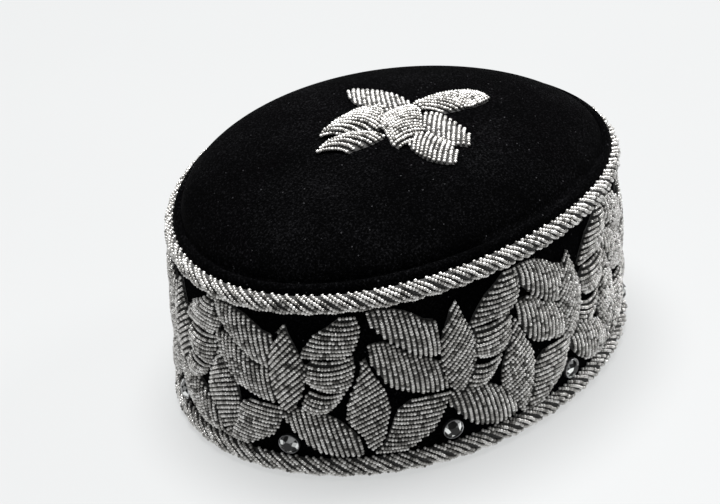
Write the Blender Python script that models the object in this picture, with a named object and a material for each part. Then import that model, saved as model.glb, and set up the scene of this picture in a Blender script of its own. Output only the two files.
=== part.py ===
"""Oval skullcap of black velvet with padded leaves, two beaded ropes and round crystals.

Metres, +Z up. The cap stands on the flat lower edge of its band, at z = 0, with its long
side along X. The leaves are drawn flat, in the plane of one repeat of the pattern, and are
then wrapped round the band. The flower is drawn in plan and laid on the crown.
"""
import bisect
import math

import bmesh
import bpy
from mathutils import Matrix, Vector

# Overall size, over the top rope
CAP_LENGTH = 0.208
CAP_WIDTH = 0.1622
BAND_HEIGHT = 0.0872
HEM_SPREAD = 1.0360         # hem outline as a share of the top outline
EGG_SHARE = -0.061          # how much narrower the front is than the back
END_RISE = -0.003           # top edge at the two ends, against the two long sides
LEAN_ALONG = 0.002          # top edge at the front, against the middle
LEAN_ACROSS = 0.001

# Cloth
BAND_WALL = 0.0024
CROWN_WALL = 0.0015
DOME_RISE = 0.0243          # top of the dome above the seam groove
DOME_POWER = 2.0            # a higher power makes a flatter top
DOME_ROUNDING = 0.56        # below 1 the dome's sides rise steeply out of the groove
DOME_LEAN = -0.0018         # dome's rim at the front, against its middle
ROLL_WIDTH = 0.0038         # padded roll, from the band's face to the seam groove
ROLL_HEIGHT = 0.0055        # padded roll above the band's top edge
GROOVE_DEPTH = 0.0008

# Ropes
ROPE_HEIGHT = 0.0095
ROPE_DEPTH = 0.0037
HEM_LIFT = 0.0003           # clear height under the lower rope
TOP_ROPE_DROP = 0.0022      # middle of the top rope below the band's top edge
LOBES_PER_REPEAT = 6
LOBE_DEPTH = 0.16           # share of the rope's thickness lost between two lobes
STRAND_SLANT = math.radians(28)

# Pattern
REPEATS = 9
PATTERN_GAP = 0.07          # share of a repeat left between the last repeat and the first
PATTERN_START = math.radians(250)
LEAF_EDGE = 0.0017          # height of a leaf's padding at its edge
LEAF_CREST = 0.0032         # and along its middle
STONE_DIAMETER = 0.0090
STONE_HEIGHT = 0.0036
STONE_FACETS = 10
FLOWER_REACH = 0.042        # from the flower's middle to its longest tips

# Fit and meshing
CLEARANCE = 0.00035
OVAL_SEGMENTS = 40
SEGMENTS_PER_LOBE = 3
LEAF_SLICES = 4             # cuts across one repeat, so that a leaf bends with the band
FLOWER_SLICES = 3           # the same, across the flower's reach
FLAT_ANGLE = math.radians(3)    # faces that meet at less than this become one

# Each leaf is a ladder. A row is one rung, from its start to its end, and the rungs run the
# way the rows of beads do. u is a share of one repeat, and v of the field between the ropes.
# Columns: start u, start v, end u, end v.
BAND_LEAVES = {
    "upper_left": (
        (-0.44, 0.98, -0.42, 0.88),
        (-0.34, 0.98, -0.30, 0.76),
        (-0.21, 0.95, -0.16, 0.66),
        (-0.10, 0.88, -0.06, 0.61),
        (-0.01, 0.83, 0.01, 0.61),
    ),
    "middle_left": (
        (-0.44, 0.76, -0.43, 0.63),
        (-0.35, 0.77, -0.31, 0.47),
        (-0.22, 0.69, -0.18, 0.41),
        (-0.09, 0.61, -0.05, 0.38),
        (0.01, 0.56, 0.05, 0.36),
    ),
    "tall": (
        (0.05, 0.88, 0.11, 0.94),
        (0.00, 0.79, 0.14, 0.88),
        (0.00, 0.67, 0.18, 0.79),
        (-0.01, 0.56, 0.22, 0.70),
        (0.02, 0.42, 0.26, 0.58),
        (0.06, 0.32, 0.15, 0.38),
    ),
    "upper_right": (
        (0.48, 0.98, 0.59, 0.98),
        (0.35, 0.90, 0.61, 0.89),
        (0.26, 0.80, 0.58, 0.79),
        (0.23, 0.73, 0.51, 0.72),
    ),
    "middle_right": (
        (0.28, 0.69, 0.54, 0.71),
        (0.21, 0.61, 0.54, 0.63),
        (0.23, 0.52, 0.53, 0.54),
        (0.30, 0.45, 0.48, 0.43),
    ),
    "bud": (
        (0.24, 0.47, 0.42, 0.47),
        (0.20, 0.39, 0.36, 0.38),
        (0.18, 0.33, 0.31, 0.32),
    ),
    "side": (
        (0.56, 0.67, 0.58, 0.69),
        (0.54, 0.53, 0.60, 0.58),
        (0.48, 0.40, 0.66, 0.50),
        (0.45, 0.28, 0.71, 0.39),
        (0.51, 0.20, 0.70, 0.28),
        (0.59, 0.06, 0.63, 0.09),
    ),
    "lower_left": (
        (-0.43, 0.02, -0.22, 0.02),
        (-0.36, 0.11, -0.10, 0.09),
        (-0.32, 0.20, 0.00, 0.17),
        (-0.27, 0.30, 0.05, 0.28),
        (-0.19, 0.35, 0.10, 0.36),
    ),
    "lower_right": (
        (0.05, 0.33, 0.07, 0.24),
        (0.14, 0.37, 0.19, 0.10),
        (0.27, 0.34, 0.35, 0.02),
        (0.41, 0.26, 0.48, 0.02),
        (0.53, 0.15, 0.55, 0.03),
    ),
}
SPRAY = ("middle_left", "tall", "middle_right", "bud", "lower_left", "lower_right")
STONE_PLACE = (0.075, 0.080)

# Leaves that stand alone: name of the piece, its leaf, and the leaves it is trimmed to clear,
# each with the repeat that the neighbour belongs to.
LONE_LEAVES = {
    "upper_left_leaf": ("upper_left", (("middle_left", 0), ("tall", 0))),
    "upper_right_leaf": ("upper_right", (("tall", 0), ("middle_right", 0), ("upper_left", 1),
                                         ("middle_left", 1))),
    "side_leaf": ("side", (("middle_right", 0), ("lower_right", 0), ("bud", 0),
                           ("upper_right", 0), ("middle_left", 1), ("lower_left", 1))),
}
SPRAY_NEIGHBOURS = (("middle_left", 1), ("lower_left", 1))

# The flower on the crown, in plan, as the same ladders. x and y are shares of its reach.
# Columns: start x, start y, end x, end y.
FLOWER_LEAVES = {
    "back": (
        (0.24, 0.10, 0.30, 0.20),
        (0.04, 0.10, 0.24, 0.47),
        (-0.10, 0.33, 0.12, 0.67),
        (-0.14, 0.50, 0.04, 0.80),
        (-0.11, 0.62, -0.01, 0.83),
    ),
    "right": (
        (0.22, 0.02, 0.34, -0.17),
        (0.36, 0.11, 0.50, -0.23),
        (0.60, 0.11, 0.77, -0.26),
        (0.83, 0.04, 0.97, -0.21),
        (0.95, 0.00, 1.03, -0.14),
    ),
    "left": (
        (-0.78, 0.17, -0.73, 0.09),
        (-0.65, 0.27, -0.51, 0.03),
        (-0.42, 0.31, -0.25, -0.04),
        (-0.08, 0.26, 0.08, 0.05),
    ),
    "lower_left": (
        (-0.95, -0.04, -0.91, -0.12),
        (-0.81, 0.03, -0.66, -0.25),
        (-0.58, 0.01, -0.39, -0.29),
        (-0.27, -0.07, -0.16, -0.18),
    ),
    "middle": (
        (-0.30, -0.50, -0.10, -0.47),
        (-0.30, -0.36, 0.09, -0.37),
        (-0.23, -0.14, 0.23, -0.15),
        (-0.10, 0.08, 0.28, 0.08),
    ),
    "front_right": (
        (0.12, -0.28, 0.24, -0.11),
        (0.08, -0.48, 0.34, -0.18),
        (0.14, -0.68, 0.41, -0.36),
        (0.30, -0.83, 0.42, -0.67),
    ),
    "front": (
        (-0.20, -0.54, -0.12, -0.45),
        (-0.20, -0.70, 0.05, -0.46),
        (-0.12, -0.89, 0.15, -0.65),
        (0.02, -0.99, 0.16, -0.83),
    ),
}

# Section of a rope. Columns: share of its depth outwards, share of half its height.
ROPE_SECTION = ((0.0, -0.80), (0.45, -1.0), (1.0, -0.45), (1.0, 0.45), (0.45, 1.0), (0.0, 0.80))

# Section of the crown's padded roll, upwards and inwards. Columns: share of the roll's width
# in from the band's face, share of its height above the band's top edge.
ROLL_SECTION = ((0.0, 0.0), (0.02, 0.48), (0.20, 0.84), (0.52, 1.0), (0.84, 0.93))

# Rings of the dome, from the seam groove to the top, as shares of the groove's oval
DOME_RINGS = (0.975, 0.93, 0.84, 0.68, 0.47, 0.24)

# Section of a crystal in its rim. Columns: share of its radius, share of its height.
STONE_SECTION = ((1.0, 0.0), (1.0, 0.42), (0.86, 0.52), (0.50, 1.0))

# Colours: colour, roughness, metallic
FINISHES = {
    "velvet": ((0.012, 0.012, 0.014, 1.0), 0.9, 0.0),
    "beads": ((0.62, 0.63, 0.65, 1.0), 0.3, 0.6),
    "crystal": ((0.85, 0.87, 0.90, 1.0), 0.05, 0.0),
}

BAND_INSET = ROPE_DEPTH + CLEARANCE
FIELD_BASE = HEM_LIFT + ROPE_HEIGHT
TOP_ROPE_LEVEL = BAND_HEIGHT - TOP_ROPE_DROP
FIELD_HEIGHT = TOP_ROPE_LEVEL - ROPE_HEIGHT / 2 - FIELD_BASE
GROOVE_INSET = BAND_INSET + ROLL_WIDTH
GROOVE_LEVEL = BAND_HEIGHT + ROLL_HEIGHT - GROOVE_DEPTH
BAND_BEND = (CAP_WIDTH / 2) ** 2 / (CAP_LENGTH / 2)     # tightest radius, at the two ends
DOME_BEND = (CAP_WIDTH / 2 - GROOVE_INSET) ** 2 / (2 * DOME_RISE * DOME_POWER * DOME_ROUNDING)


def seat(chord, bend):
    """Height at which a flat facet of this width still clears the curve under it."""
    return CLEARANCE + chord ** 2 / (8 * bend)


def edge_wave(angle):
    """Height of the cap's top edge at an angle, against its mean height."""
    ends = END_RISE * math.cos(2 * angle)
    return ends + LEAN_ALONG * math.cos(angle) + LEAN_ACROSS * math.sin(angle)


def oval(angle, spread, inset):
    """A point of the cap's plan outline, moved inwards along the outline's normal."""
    half_length = spread * CAP_LENGTH / 2
    half_width = spread * CAP_WIDTH / 2
    swell = 1 + EGG_SHARE * math.cos(angle)
    x = half_length * math.cos(angle)
    y = half_width * math.sin(angle) * swell
    along_x = -half_length * math.sin(angle)
    along_y = half_width * (math.cos(angle) * swell - EGG_SHARE * math.sin(angle) ** 2)
    length = math.hypot(along_x, along_y)
    return Vector((x - inset * along_y / length, y + inset * along_x / length))


def wall_point(angle, level, inset):
    """A point of the cap's side at a level, inset from the ropes' outermost face."""
    spread = HEM_SPREAD + (1 - HEM_SPREAD) * level / BAND_HEIGHT
    flat = oval(angle, spread, inset)
    return Vector((flat.x, flat.y, level * (1 + edge_wave(angle) / BAND_HEIGHT)))


class Girth:
    """Arc length round the cap at half its height, the length of one repeat, and angles."""

    STEPS = 1440

    def __init__(self):
        self.angles = [2 * math.pi * step / self.STEPS for step in range(self.STEPS + 1)]
        self.lengths = [0.0]
        last = wall_point(0, BAND_HEIGHT / 2, 0)
        for angle in self.angles[1:]:
            here = wall_point(angle, BAND_HEIGHT / 2, 0)
            self.lengths.append(self.lengths[-1] + (here - last).length)
            last = here
        self.total = self.lengths[-1]
        self.pitch = self.total / (REPEATS + PATTERN_GAP)

    def angle_at(self, length):
        turns, rest = divmod(length, self.total)
        index = bisect.bisect_right(self.lengths, rest) - 1
        index = min(index, self.STEPS - 1)
        low, high = self.lengths[index], self.lengths[index + 1]
        share = (rest - low) / (high - low)
        return self.angles[index] + share * (self.angles[1]) + 2 * math.pi * turns

    def length_at(self, angle):
        place = angle / (2 * math.pi) * self.STEPS
        index = min(int(place), self.STEPS - 1)
        low, high = self.lengths[index], self.lengths[index + 1]
        return low + (place - index) * (high - low)


def dome_angle(x, y):
    """The oval's angle through a point of the crown's plan."""
    rim = oval(0, 1, GROOVE_INSET).x
    side = oval(math.pi / 2, 1, GROOVE_INSET).y
    angle = math.atan2(y / side, x / rim)
    for _ in range(4):
        swell = 1 + EGG_SHARE * math.cos(angle)
        angle = math.atan2(y / (side * swell), x / rim)
    return angle


def dome_height(angle, share):
    """Height of the dome at an angle, and at a share of the way out to the seam groove."""
    wave = edge_wave(angle) * GROOVE_LEVEL / BAND_HEIGHT + DOME_LEAN * math.cos(angle)
    rise = DOME_RISE * max(0.0, 1 - share ** DOME_POWER) ** DOME_ROUNDING
    return GROOVE_LEVEL + wave * share ** 2 + rise


def dome_ring_point(angle, share):
    flat = share * oval(angle, 1, GROOVE_INSET)
    return Vector((flat.x, flat.y, dome_height(angle, share)))


def on_dome(x, y, height):
    """A point above the dome, measured along the dome's normal."""
    def surface(px, py):
        angle = dome_angle(px, py)
        share = math.hypot(px, py) / oval(angle, 1, GROOVE_INSET).length
        return Vector((px, py, dome_height(angle, share)))

    step = 0.001
    here = surface(x, y)
    normal = (surface(x + step, y) - here).cross(surface(x, y + step) - here).normalized()
    return here + height * normal


def finish(name):
    colour, roughness, metallic = FINISHES[name]
    material = bpy.data.materials.get(name)
    if material is None:
        material = bpy.data.materials.new(name)
        material.use_nodes = True
        shader = material.node_tree.nodes["Principled BSDF"]
        shader.inputs["Base Color"].default_value = colour
        shader.inputs["Roughness"].default_value = roughness
        shader.inputs["Metallic"].default_value = metallic
        material.diffuse_color = colour
    return material


def add_piece(name, mesh, finish_name, parent, sharp=math.radians(35)):
    mesh.name = name
    if not mesh.materials:
        mesh.materials.append(finish(finish_name))
    mesh.shade_smooth()
    mesh.set_sharp_from_angle(angle=sharp)
    piece = bpy.data.objects.new(name, mesh)
    piece.parent = parent
    bpy.context.collection.objects.link(piece)
    return piece


def ring_mesh(name, rings, closed_section):
    """A mesh of rings of equal counts, skinned in order, outer side to the right."""
    mesh = bpy.data.meshes.new(name)
    count = len(rings[0])
    vertices = [point for ring in rings for point in ring]
    rows = len(rings) if closed_section else len(rings) - 1
    faces = []
    for row in range(rows):
        upper = (row + 1) % len(rings)
        for step in range(count):
            ahead = (step + 1) % count
            faces.append((row * count + step, row * count + ahead,
                          upper * count + ahead, upper * count + step))
    mesh.from_pydata(vertices, [], faces)
    return mesh


def face_outwards(mesh):
    shape = bmesh.new()
    shape.from_mesh(mesh)
    bmesh.ops.recalc_face_normals(shape, faces=shape.faces)
    shape.to_mesh(mesh)
    shape.free()


def oval_angles(girth, count):
    return [girth.angle_at(girth.total * step / count) for step in range(count)]


def build_band(girth, parent):
    angles = oval_angles(girth, OVAL_SEGMENTS)
    inner = BAND_INSET + BAND_WALL
    corners = ((0, BAND_INSET), (BAND_HEIGHT, BAND_INSET), (BAND_HEIGHT, inner), (0, inner))
    rings = [[wall_point(angle, level, inset) for angle in angles] for level, inset in corners]
    mesh = ring_mesh("band", rings, closed_section=True)
    face_outwards(mesh)
    add_piece("band", mesh, "velvet", parent)


def build_crown(girth, parent):
    angles = oval_angles(girth, OVAL_SEGMENTS)
    foot = BAND_HEIGHT + CLEARANCE
    rings = []
    for inward, upward in ROLL_SECTION:
        inset = BAND_INSET + inward * ROLL_WIDTH
        level = foot + upward * (ROLL_HEIGHT - CLEARANCE)
        rings.append([wall_point(angle, level, inset) for angle in angles])
    rings.append([dome_ring_point(angle, 1.0) for angle in angles])
    for share in DOME_RINGS:
        rings.append([dome_ring_point(angle, share) for angle in angles])
    mesh = ring_mesh("crown", rings, closed_section=False)
    shape = bmesh.new()
    shape.from_mesh(mesh)
    shape.verts.ensure_lookup_table()
    last_ring = shape.verts[-OVAL_SEGMENTS:]
    top = shape.verts.new(dome_ring_point(0, 0))
    for step, corner in enumerate(last_ring):
        shape.faces.new((corner, last_ring[(step + 1) % OVAL_SEGMENTS], top))
    bmesh.ops.recalc_face_normals(shape, faces=shape.faces)
    shape.to_mesh(mesh)
    shape.free()
    crown = add_piece("crown", mesh, "velvet", parent)
    cloth = crown.modifiers.new("cloth", "SOLIDIFY")
    cloth.thickness = CROWN_WALL
    cloth.offset = -1.0
    cloth.use_even_offset = True


def rope_ring(girth, level):
    """Rings of a rope's lobed section, one list for each place round its section."""
    lobes = REPEATS * LOBES_PER_REPEAT
    steps = lobes * SEGMENTS_PER_LOBE
    rings = []
    for outward, upward in ROPE_SECTION:
        rise = upward * ROPE_HEIGHT / 2
        ring = []
        for step in range(steps):
            length = girth.total * step / steps
            turns = lobes * (length + rise / math.tan(STRAND_SLANT)) / girth.total
            dip = LOBE_DEPTH * (0.5 - 0.5 * math.cos(2 * math.pi * turns)) if outward else 0
            depth = outward * ROPE_DEPTH * (1 - dip)
            ring.append(wall_point(girth.angle_at(length), level + rise * (1 - dip / 2),
                                   ROPE_DEPTH - depth))
        rings.append(ring)
    return rings


def build_rope(name, girth, level, parent):
    mesh = ring_mesh(name, rope_ring(girth, level), closed_section=True)
    face_outwards(mesh)
    add_piece(name, mesh, "beads", parent)


def ladder_outline(rungs):
    """Corners of a ladder's outline, counter-clockwise, from its rungs."""
    starts = [Vector(rung[:2]) for rung in rungs]
    ends = [Vector(rung[2:]) for rung in rungs]
    outline = starts + ends[::-1]
    area = sum(a.cross(b) for a, b in zip(outline, outline[1:] + outline[:1]))
    return outline if area > 0 else outline[::-1]


def leaf_pad(rungs, low):
    """A leaf's padding as a flat-bottomed closed mesh, highest along its middle."""
    shape = bmesh.new()
    edge = low + LEAF_EDGE
    bottoms, edges, crests = [], [], []
    for index, rung in enumerate(rungs):
        start, end = Vector(rung[:2]), Vector(rung[2:])
        middle = (start + end) / 2
        at_tip = index in (0, len(rungs) - 1)
        crest = edge if at_tip else low + LEAF_CREST
        bottoms.append([shape.verts.new((*point, low)) for point in (start, end)])
        edges.append([shape.verts.new((*point, edge)) for point in (start, end)])
        crests.append(shape.verts.new((*middle, crest)))
    for here in range(len(rungs) - 1):
        ahead = here + 1
        shape.faces.new((bottoms[here][0], bottoms[here][1], bottoms[ahead][1], bottoms[ahead][0]))
        for side in (0, 1):
            shape.faces.new((bottoms[here][side], bottoms[ahead][side],
                             edges[ahead][side], edges[here][side]))
            shape.faces.new((edges[here][side], edges[ahead][side], crests[ahead], crests[here]))
    for tip in (0, -1):
        shape.faces.new((bottoms[tip][0], edges[tip][0], crests[tip], edges[tip][1],
                         bottoms[tip][1]))
    bmesh.ops.triangulate(shape, faces=shape.faces)
    bmesh.ops.recalc_face_normals(shape, faces=shape.faces)
    mesh = bpy.data.meshes.new("pad")
    shape.to_mesh(mesh)
    shape.free()
    return mesh


def trimming_block(rungs):
    """A tall block over a leaf's outline, larger all round by the clearance."""
    outline = ladder_outline(rungs)
    grown = []
    for index, corner in enumerate(outline):
        before = (corner - outline[index - 1]).normalized()
        after = (outline[(index + 1) % len(outline)] - corner).normalized()
        along = (before + after).normalized()
        grown.append(corner + CLEARANCE * Vector((along.y, -along.x)))
    reach = 4 * LEAF_CREST
    shape = bmesh.new()
    low = [shape.verts.new((*corner, -reach)) for corner in grown]
    high = [shape.verts.new((*corner, reach)) for corner in grown]
    shape.faces.new(low[::-1])
    shape.faces.new(high)
    for index in range(len(grown)):
        ahead = (index + 1) % len(grown)
        shape.faces.new((low[index], low[ahead], high[ahead], high[index]))
    bmesh.ops.recalc_face_normals(shape, faces=shape.faces)
    mesh = bpy.data.meshes.new("trim")
    shape.to_mesh(mesh)
    shape.free()
    return mesh


def combine(mesh, others, operation):
    """The mesh joined to, or cut by, each of the others."""
    for other in others:
        target = bpy.data.objects.new("target", mesh)
        tool = bpy.data.objects.new("tool", other)
        for helper in (target, tool):
            bpy.context.collection.objects.link(helper)
        step = target.modifiers.new("step", "BOOLEAN")
        step.operation = operation
        step.object = tool
        evaluated = target.evaluated_get(bpy.context.evaluated_depsgraph_get())
        mesh = bpy.data.meshes.new_from_object(evaluated)
        bpy.data.objects.remove(target)
        bpy.data.objects.remove(tool)
    return mesh


def sliced(mesh, spacing, axes):
    """The mesh with cuts across it at equal spacing, so that it can be bent."""
    shape = bmesh.new()
    shape.from_mesh(mesh)
    bmesh.ops.dissolve_limit(shape, angle_limit=FLAT_ANGLE, verts=shape.verts,
                             edges=shape.edges)
    for axis in axes:
        direction = Vector((0, 0, 0))
        direction[axis] = 1
        places = [vertex.co[axis] for vertex in shape.verts]
        for index in range(math.ceil(min(places) / spacing), math.ceil(max(places) / spacing)):
            bmesh.ops.bisect_plane(shape, geom=shape.verts[:] + shape.edges[:] + shape.faces[:],
                                   plane_co=index * spacing * direction, plane_no=direction)
    bmesh.ops.dissolve_degenerate(shape, edges=shape.edges, dist=CLEARANCE / 10)
    bmesh.ops.triangulate(shape, faces=shape.faces)
    result = bpy.data.meshes.new("sliced")
    shape.to_mesh(result)
    shape.free()
    return result


def bent(mesh, place):
    """A copy of a flat mesh with every vertex put where place says."""
    copy = mesh.copy()
    for vertex in copy.vertices:
        vertex.co = place(*vertex.co)
    face_outwards(copy)
    return copy


def band_rungs(girth, leaf, repeat):
    """A band leaf's rungs in metres along the band, and up from the hem."""
    pitch = girth.pitch
    return [((start_u + repeat) * pitch, FIELD_BASE + start_v * FIELD_HEIGHT,
             (end_u + repeat) * pitch, FIELD_BASE + end_v * FIELD_HEIGHT)
            for start_u, start_v, end_u, end_v in BAND_LEAVES[leaf]]


def flower_rungs(leaf):
    return [tuple(share * FLOWER_REACH for share in row) for row in FLOWER_LEAVES[leaf]]


def flat_leaves(girth):
    """Each kind of leaf piece of one repeat, drawn flat."""
    def blocks(neighbours):
        return [trimming_block(band_rungs(girth, leaf, repeat)) for leaf, repeat in neighbours]

    spacing = girth.pitch / LEAF_SLICES
    low = seat(spacing, BAND_BEND)
    pads = [leaf_pad(band_rungs(girth, leaf, 0), low) for leaf in SPRAY]
    spray = combine(pads[0], pads[1:], "UNION")
    shapes = {"spray": combine(spray, blocks(SPRAY_NEIGHBOURS), "DIFFERENCE")}
    for name, (leaf, neighbours) in LONE_LEAVES.items():
        pad = leaf_pad(band_rungs(girth, leaf, 0), low)
        shapes[name] = combine(pad, blocks(neighbours), "DIFFERENCE")
    return {name: sliced(mesh, spacing, axes=(0,)) for name, mesh in shapes.items()}


def build_leaves(girth, parent):
    origin = girth.length_at(PATTERN_START)
    for name, flat in flat_leaves(girth).items():
        for repeat in range(REPEATS):
            start = origin + repeat * girth.pitch

            def place(along, level, height, start=start):
                return wall_point(girth.angle_at(start + along), level, BAND_INSET - height)

            add_piece(f"{name}_{repeat + 1}", bent(flat, place), "beads", parent)


def build_flower(parent):
    spacing = FLOWER_REACH / FLOWER_SLICES
    low = seat(spacing, DOME_BEND)
    pads = [leaf_pad(flower_rungs(leaf), low) for leaf in FLOWER_LEAVES]
    flat = sliced(combine(pads[0], pads[1:], "UNION"), spacing, axes=(0, 1))
    add_piece("crown_motif", bent(flat, on_dome), "beads", parent)


def stone_mesh():
    """A crystal in its rim, standing on its base at the origin, along +Z."""
    rings = []
    for radius_share, height_share in STONE_SECTION:
        radius = radius_share * STONE_DIAMETER / 2
        rings.append([Vector((radius * math.cos(2 * math.pi * step / STONE_FACETS),
                              radius * math.sin(2 * math.pi * step / STONE_FACETS),
                              height_share * STONE_HEIGHT)) for step in range(STONE_FACETS)])
    mesh = ring_mesh("stone", rings, closed_section=False)
    shape = bmesh.new()
    shape.from_mesh(mesh)
    bmesh.ops.holes_fill(shape, edges=[edge for edge in shape.edges if edge.is_boundary])
    bmesh.ops.recalc_face_normals(shape, faces=shape.faces)
    shape.to_mesh(mesh)
    shape.free()
    return mesh


def build_stones(girth, parent):
    mesh = stone_mesh()
    share_u, share_v = STONE_PLACE
    level = FIELD_BASE + share_v * FIELD_HEIGHT
    for repeat in range(REPEATS):
        length = girth.length_at(PATTERN_START) + (repeat + share_u) * girth.pitch
        angle = girth.angle_at(length)
        height = seat(STONE_DIAMETER, BAND_BEND)
        foot = wall_point(angle, level, BAND_INSET - height)
        upward = (wall_point(angle, BAND_HEIGHT, 0) - wall_point(angle, 0, 0)).normalized()
        inward = wall_point(angle, level, BAND_INSET) - foot
        across = inward.cross(upward).normalized()
        outward = across.cross(upward)
        stone = add_piece(f"stone_{repeat + 1}", mesh, "crystal", parent,
                          sharp=math.radians(10))
        turn = Matrix((across, upward, outward)).transposed()
        stone.location = foot
        stone.rotation_euler = turn.to_euler()


def main():
    for thing in list(bpy.data.objects):
        bpy.data.objects.remove(thing)
    cap = bpy.data.objects.new("cap", None)
    bpy.context.collection.objects.link(cap)
    girth = Girth()
    build_band(girth, cap)
    build_crown(girth, cap)
    build_rope("bottom_rope", girth, HEM_LIFT + ROPE_HEIGHT / 2, cap)
    build_rope("top_rope", girth, TOP_ROPE_LEVEL, cap)
    build_leaves(girth, cap)
    build_flower(cap)
    build_stones(girth, cap)


main()
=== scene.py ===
"""The looks of the skullcap: rows of seed beads over padding, black velvet and cut crystals.

The leaves are laid out as in the solids, as ladders whose rungs run the way the rows of
beads do. Every row is a curve of beads, and the beads of a piece are one joined mesh.
"""
import math

import bpy
import numpy as np
from mathutils import Matrix, Vector
from mathutils.kdtree import KDTree

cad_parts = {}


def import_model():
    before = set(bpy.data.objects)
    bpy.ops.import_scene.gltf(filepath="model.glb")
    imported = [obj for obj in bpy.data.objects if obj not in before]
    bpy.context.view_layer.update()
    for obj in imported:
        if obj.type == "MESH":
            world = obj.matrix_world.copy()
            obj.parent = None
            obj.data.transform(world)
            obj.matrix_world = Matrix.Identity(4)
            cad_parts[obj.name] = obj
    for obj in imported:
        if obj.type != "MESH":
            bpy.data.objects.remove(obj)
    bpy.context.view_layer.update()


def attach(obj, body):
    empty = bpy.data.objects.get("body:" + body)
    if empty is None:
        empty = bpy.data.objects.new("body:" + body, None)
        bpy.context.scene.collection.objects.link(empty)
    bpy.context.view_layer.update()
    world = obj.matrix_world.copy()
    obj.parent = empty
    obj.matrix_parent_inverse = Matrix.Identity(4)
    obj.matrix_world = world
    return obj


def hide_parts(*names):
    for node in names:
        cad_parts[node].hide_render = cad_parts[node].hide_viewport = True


SEED = 11

# The cap's sizes and its pattern's places, as in the solids
CAP_LENGTH = 0.208
CAP_WIDTH = 0.1622
BAND_HEIGHT = 0.0872
HEM_SPREAD = 1.0360
EGG_SHARE = -0.061
END_RISE = -0.003
LEAN_ALONG = 0.002
LEAN_ACROSS = 0.001
BAND_WALL = 0.0024
CROWN_WALL = 0.0015
DOME_RISE = 0.0243
DOME_POWER = 2.0
DOME_ROUNDING = 0.56
DOME_LEAN = -0.0018
ROLL_WIDTH = 0.0038
ROLL_HEIGHT = 0.0055
GROOVE_DEPTH = 0.0008
ROPE_HEIGHT = 0.0095
ROPE_DEPTH = 0.0037
HEM_LIFT = 0.0003
TOP_ROPE_DROP = 0.0022
LOBES_PER_REPEAT = 6
REPEATS = 9
PATTERN_GAP = 0.07
PATTERN_START = math.radians(250)
STONE_DIAMETER = 0.0090
STONE_HEIGHT = 0.0036
STONE_PLACE = (0.075, 0.080)
FLOWER_REACH = 0.042
CLEARANCE = 0.00035

BAND_INSET = ROPE_DEPTH + CLEARANCE
FIELD_BASE = HEM_LIFT + ROPE_HEIGHT
TOP_ROPE_LEVEL = BAND_HEIGHT - TOP_ROPE_DROP
BOTTOM_ROPE_LEVEL = HEM_LIFT + ROPE_HEIGHT / 2
FIELD_HEIGHT = TOP_ROPE_LEVEL - ROPE_HEIGHT / 2 - FIELD_BASE
GROOVE_INSET = BAND_INSET + ROLL_WIDTH
GROOVE_LEVEL = BAND_HEIGHT + ROLL_HEIGHT - GROOVE_DEPTH

# How finely the cap's surfaces are measured
GIRTH_SAMPLES = 2881        # points at which the cap's girth is measured
ANGLE_TRIES = 4             # tries at the angle of a place on the dome
NORMAL_STEP = 0.001         # distance over which the dome's slope is taken

# Beads, in metres. The profile is radius and place along the thread, in bead radii.
BEAD_RADIUS = 0.00078
BEAD_SIDES = 8
BEAD_PITCH = 0.00134
ROW_PITCH = 0.00204
BEAD_PROFILE = ((0.60, -0.80), (1.04, 0.0), (0.60, 0.80))
CREST_HEIGHT = 0.0032       # middle of a bead above the velvet, along a leaf's middle
EDGE_HEIGHT = 0.0009        # and at the ends of its rows
PAD_SINK = 0.0008           # padding below the middle of the beads on it
CROWDED = 0.0012            # a bead this near to one of a higher leaf is left out
END_FULLNESS = 0.30         # height of a leaf's first and last rows against its middle ones
LEAF_ROUNDING = 0.5         # below 1 a leaf fills out faster from its first and last rows
ROW_ROUNDING = 0.6          # and from the ends of each row
FULL_ROW = 0.011            # a row shorter than this lies lower
ROW_END_SHAKE = 0.0004      # a row ends up to this far from its place
BEAD_SHAKE = 0.00005        # spread of a bead's place
BEAD_SIZE_SPREAD = 0.035    # spread of a bead's size, as a share of it
BEAD_TINT_SPREAD = 0.26     # spread of a bead's tint, which runs from 0 to 1
ROW_SAMPLES = 200           # places at which a leaf is measured for its rows
ROW_POINTS = 33             # points of the curve that a row of beads follows
PADDING_PITCH = 1.7 * ROW_PITCH
PADDING_POINTS = 9
PADDING_FLOOR = 0.0001      # the padding lies at least this far above the velvet
PADDING_EDGE = 0.00005      # and at the ends of its rows

# Rows of beads on the ropes
STRAND_SLANT = math.radians(28)
STRANDS_PER_LOBE = 3
LOBE_SPREAD = 0.86          # share of a lobe that its strands fill
LOBE_DIP = 0.0010           # a lobe's edges lie this far inside its middle
STRAND_SHAKE = 0.0001       # and a strand up to this far more
STRAND_CUT = 0.04           # share of its height that a strand loses, a lobe off the middle
ROPE_FULLNESS = 0.8         # below 1 the rope's section is squarer than an ellipse
ROPE_BEAD_SCALE = 1.02      # a rope's beads against the leaves' beads
STRAND_POINTS = 41
CORE_POINTS = 11
CORE_MARGIN = 0.0002        # the rope's core stops this far short of the strands' ends
CORE_SINK = 2.2             # bead radii from the rope's face in to its core

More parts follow.
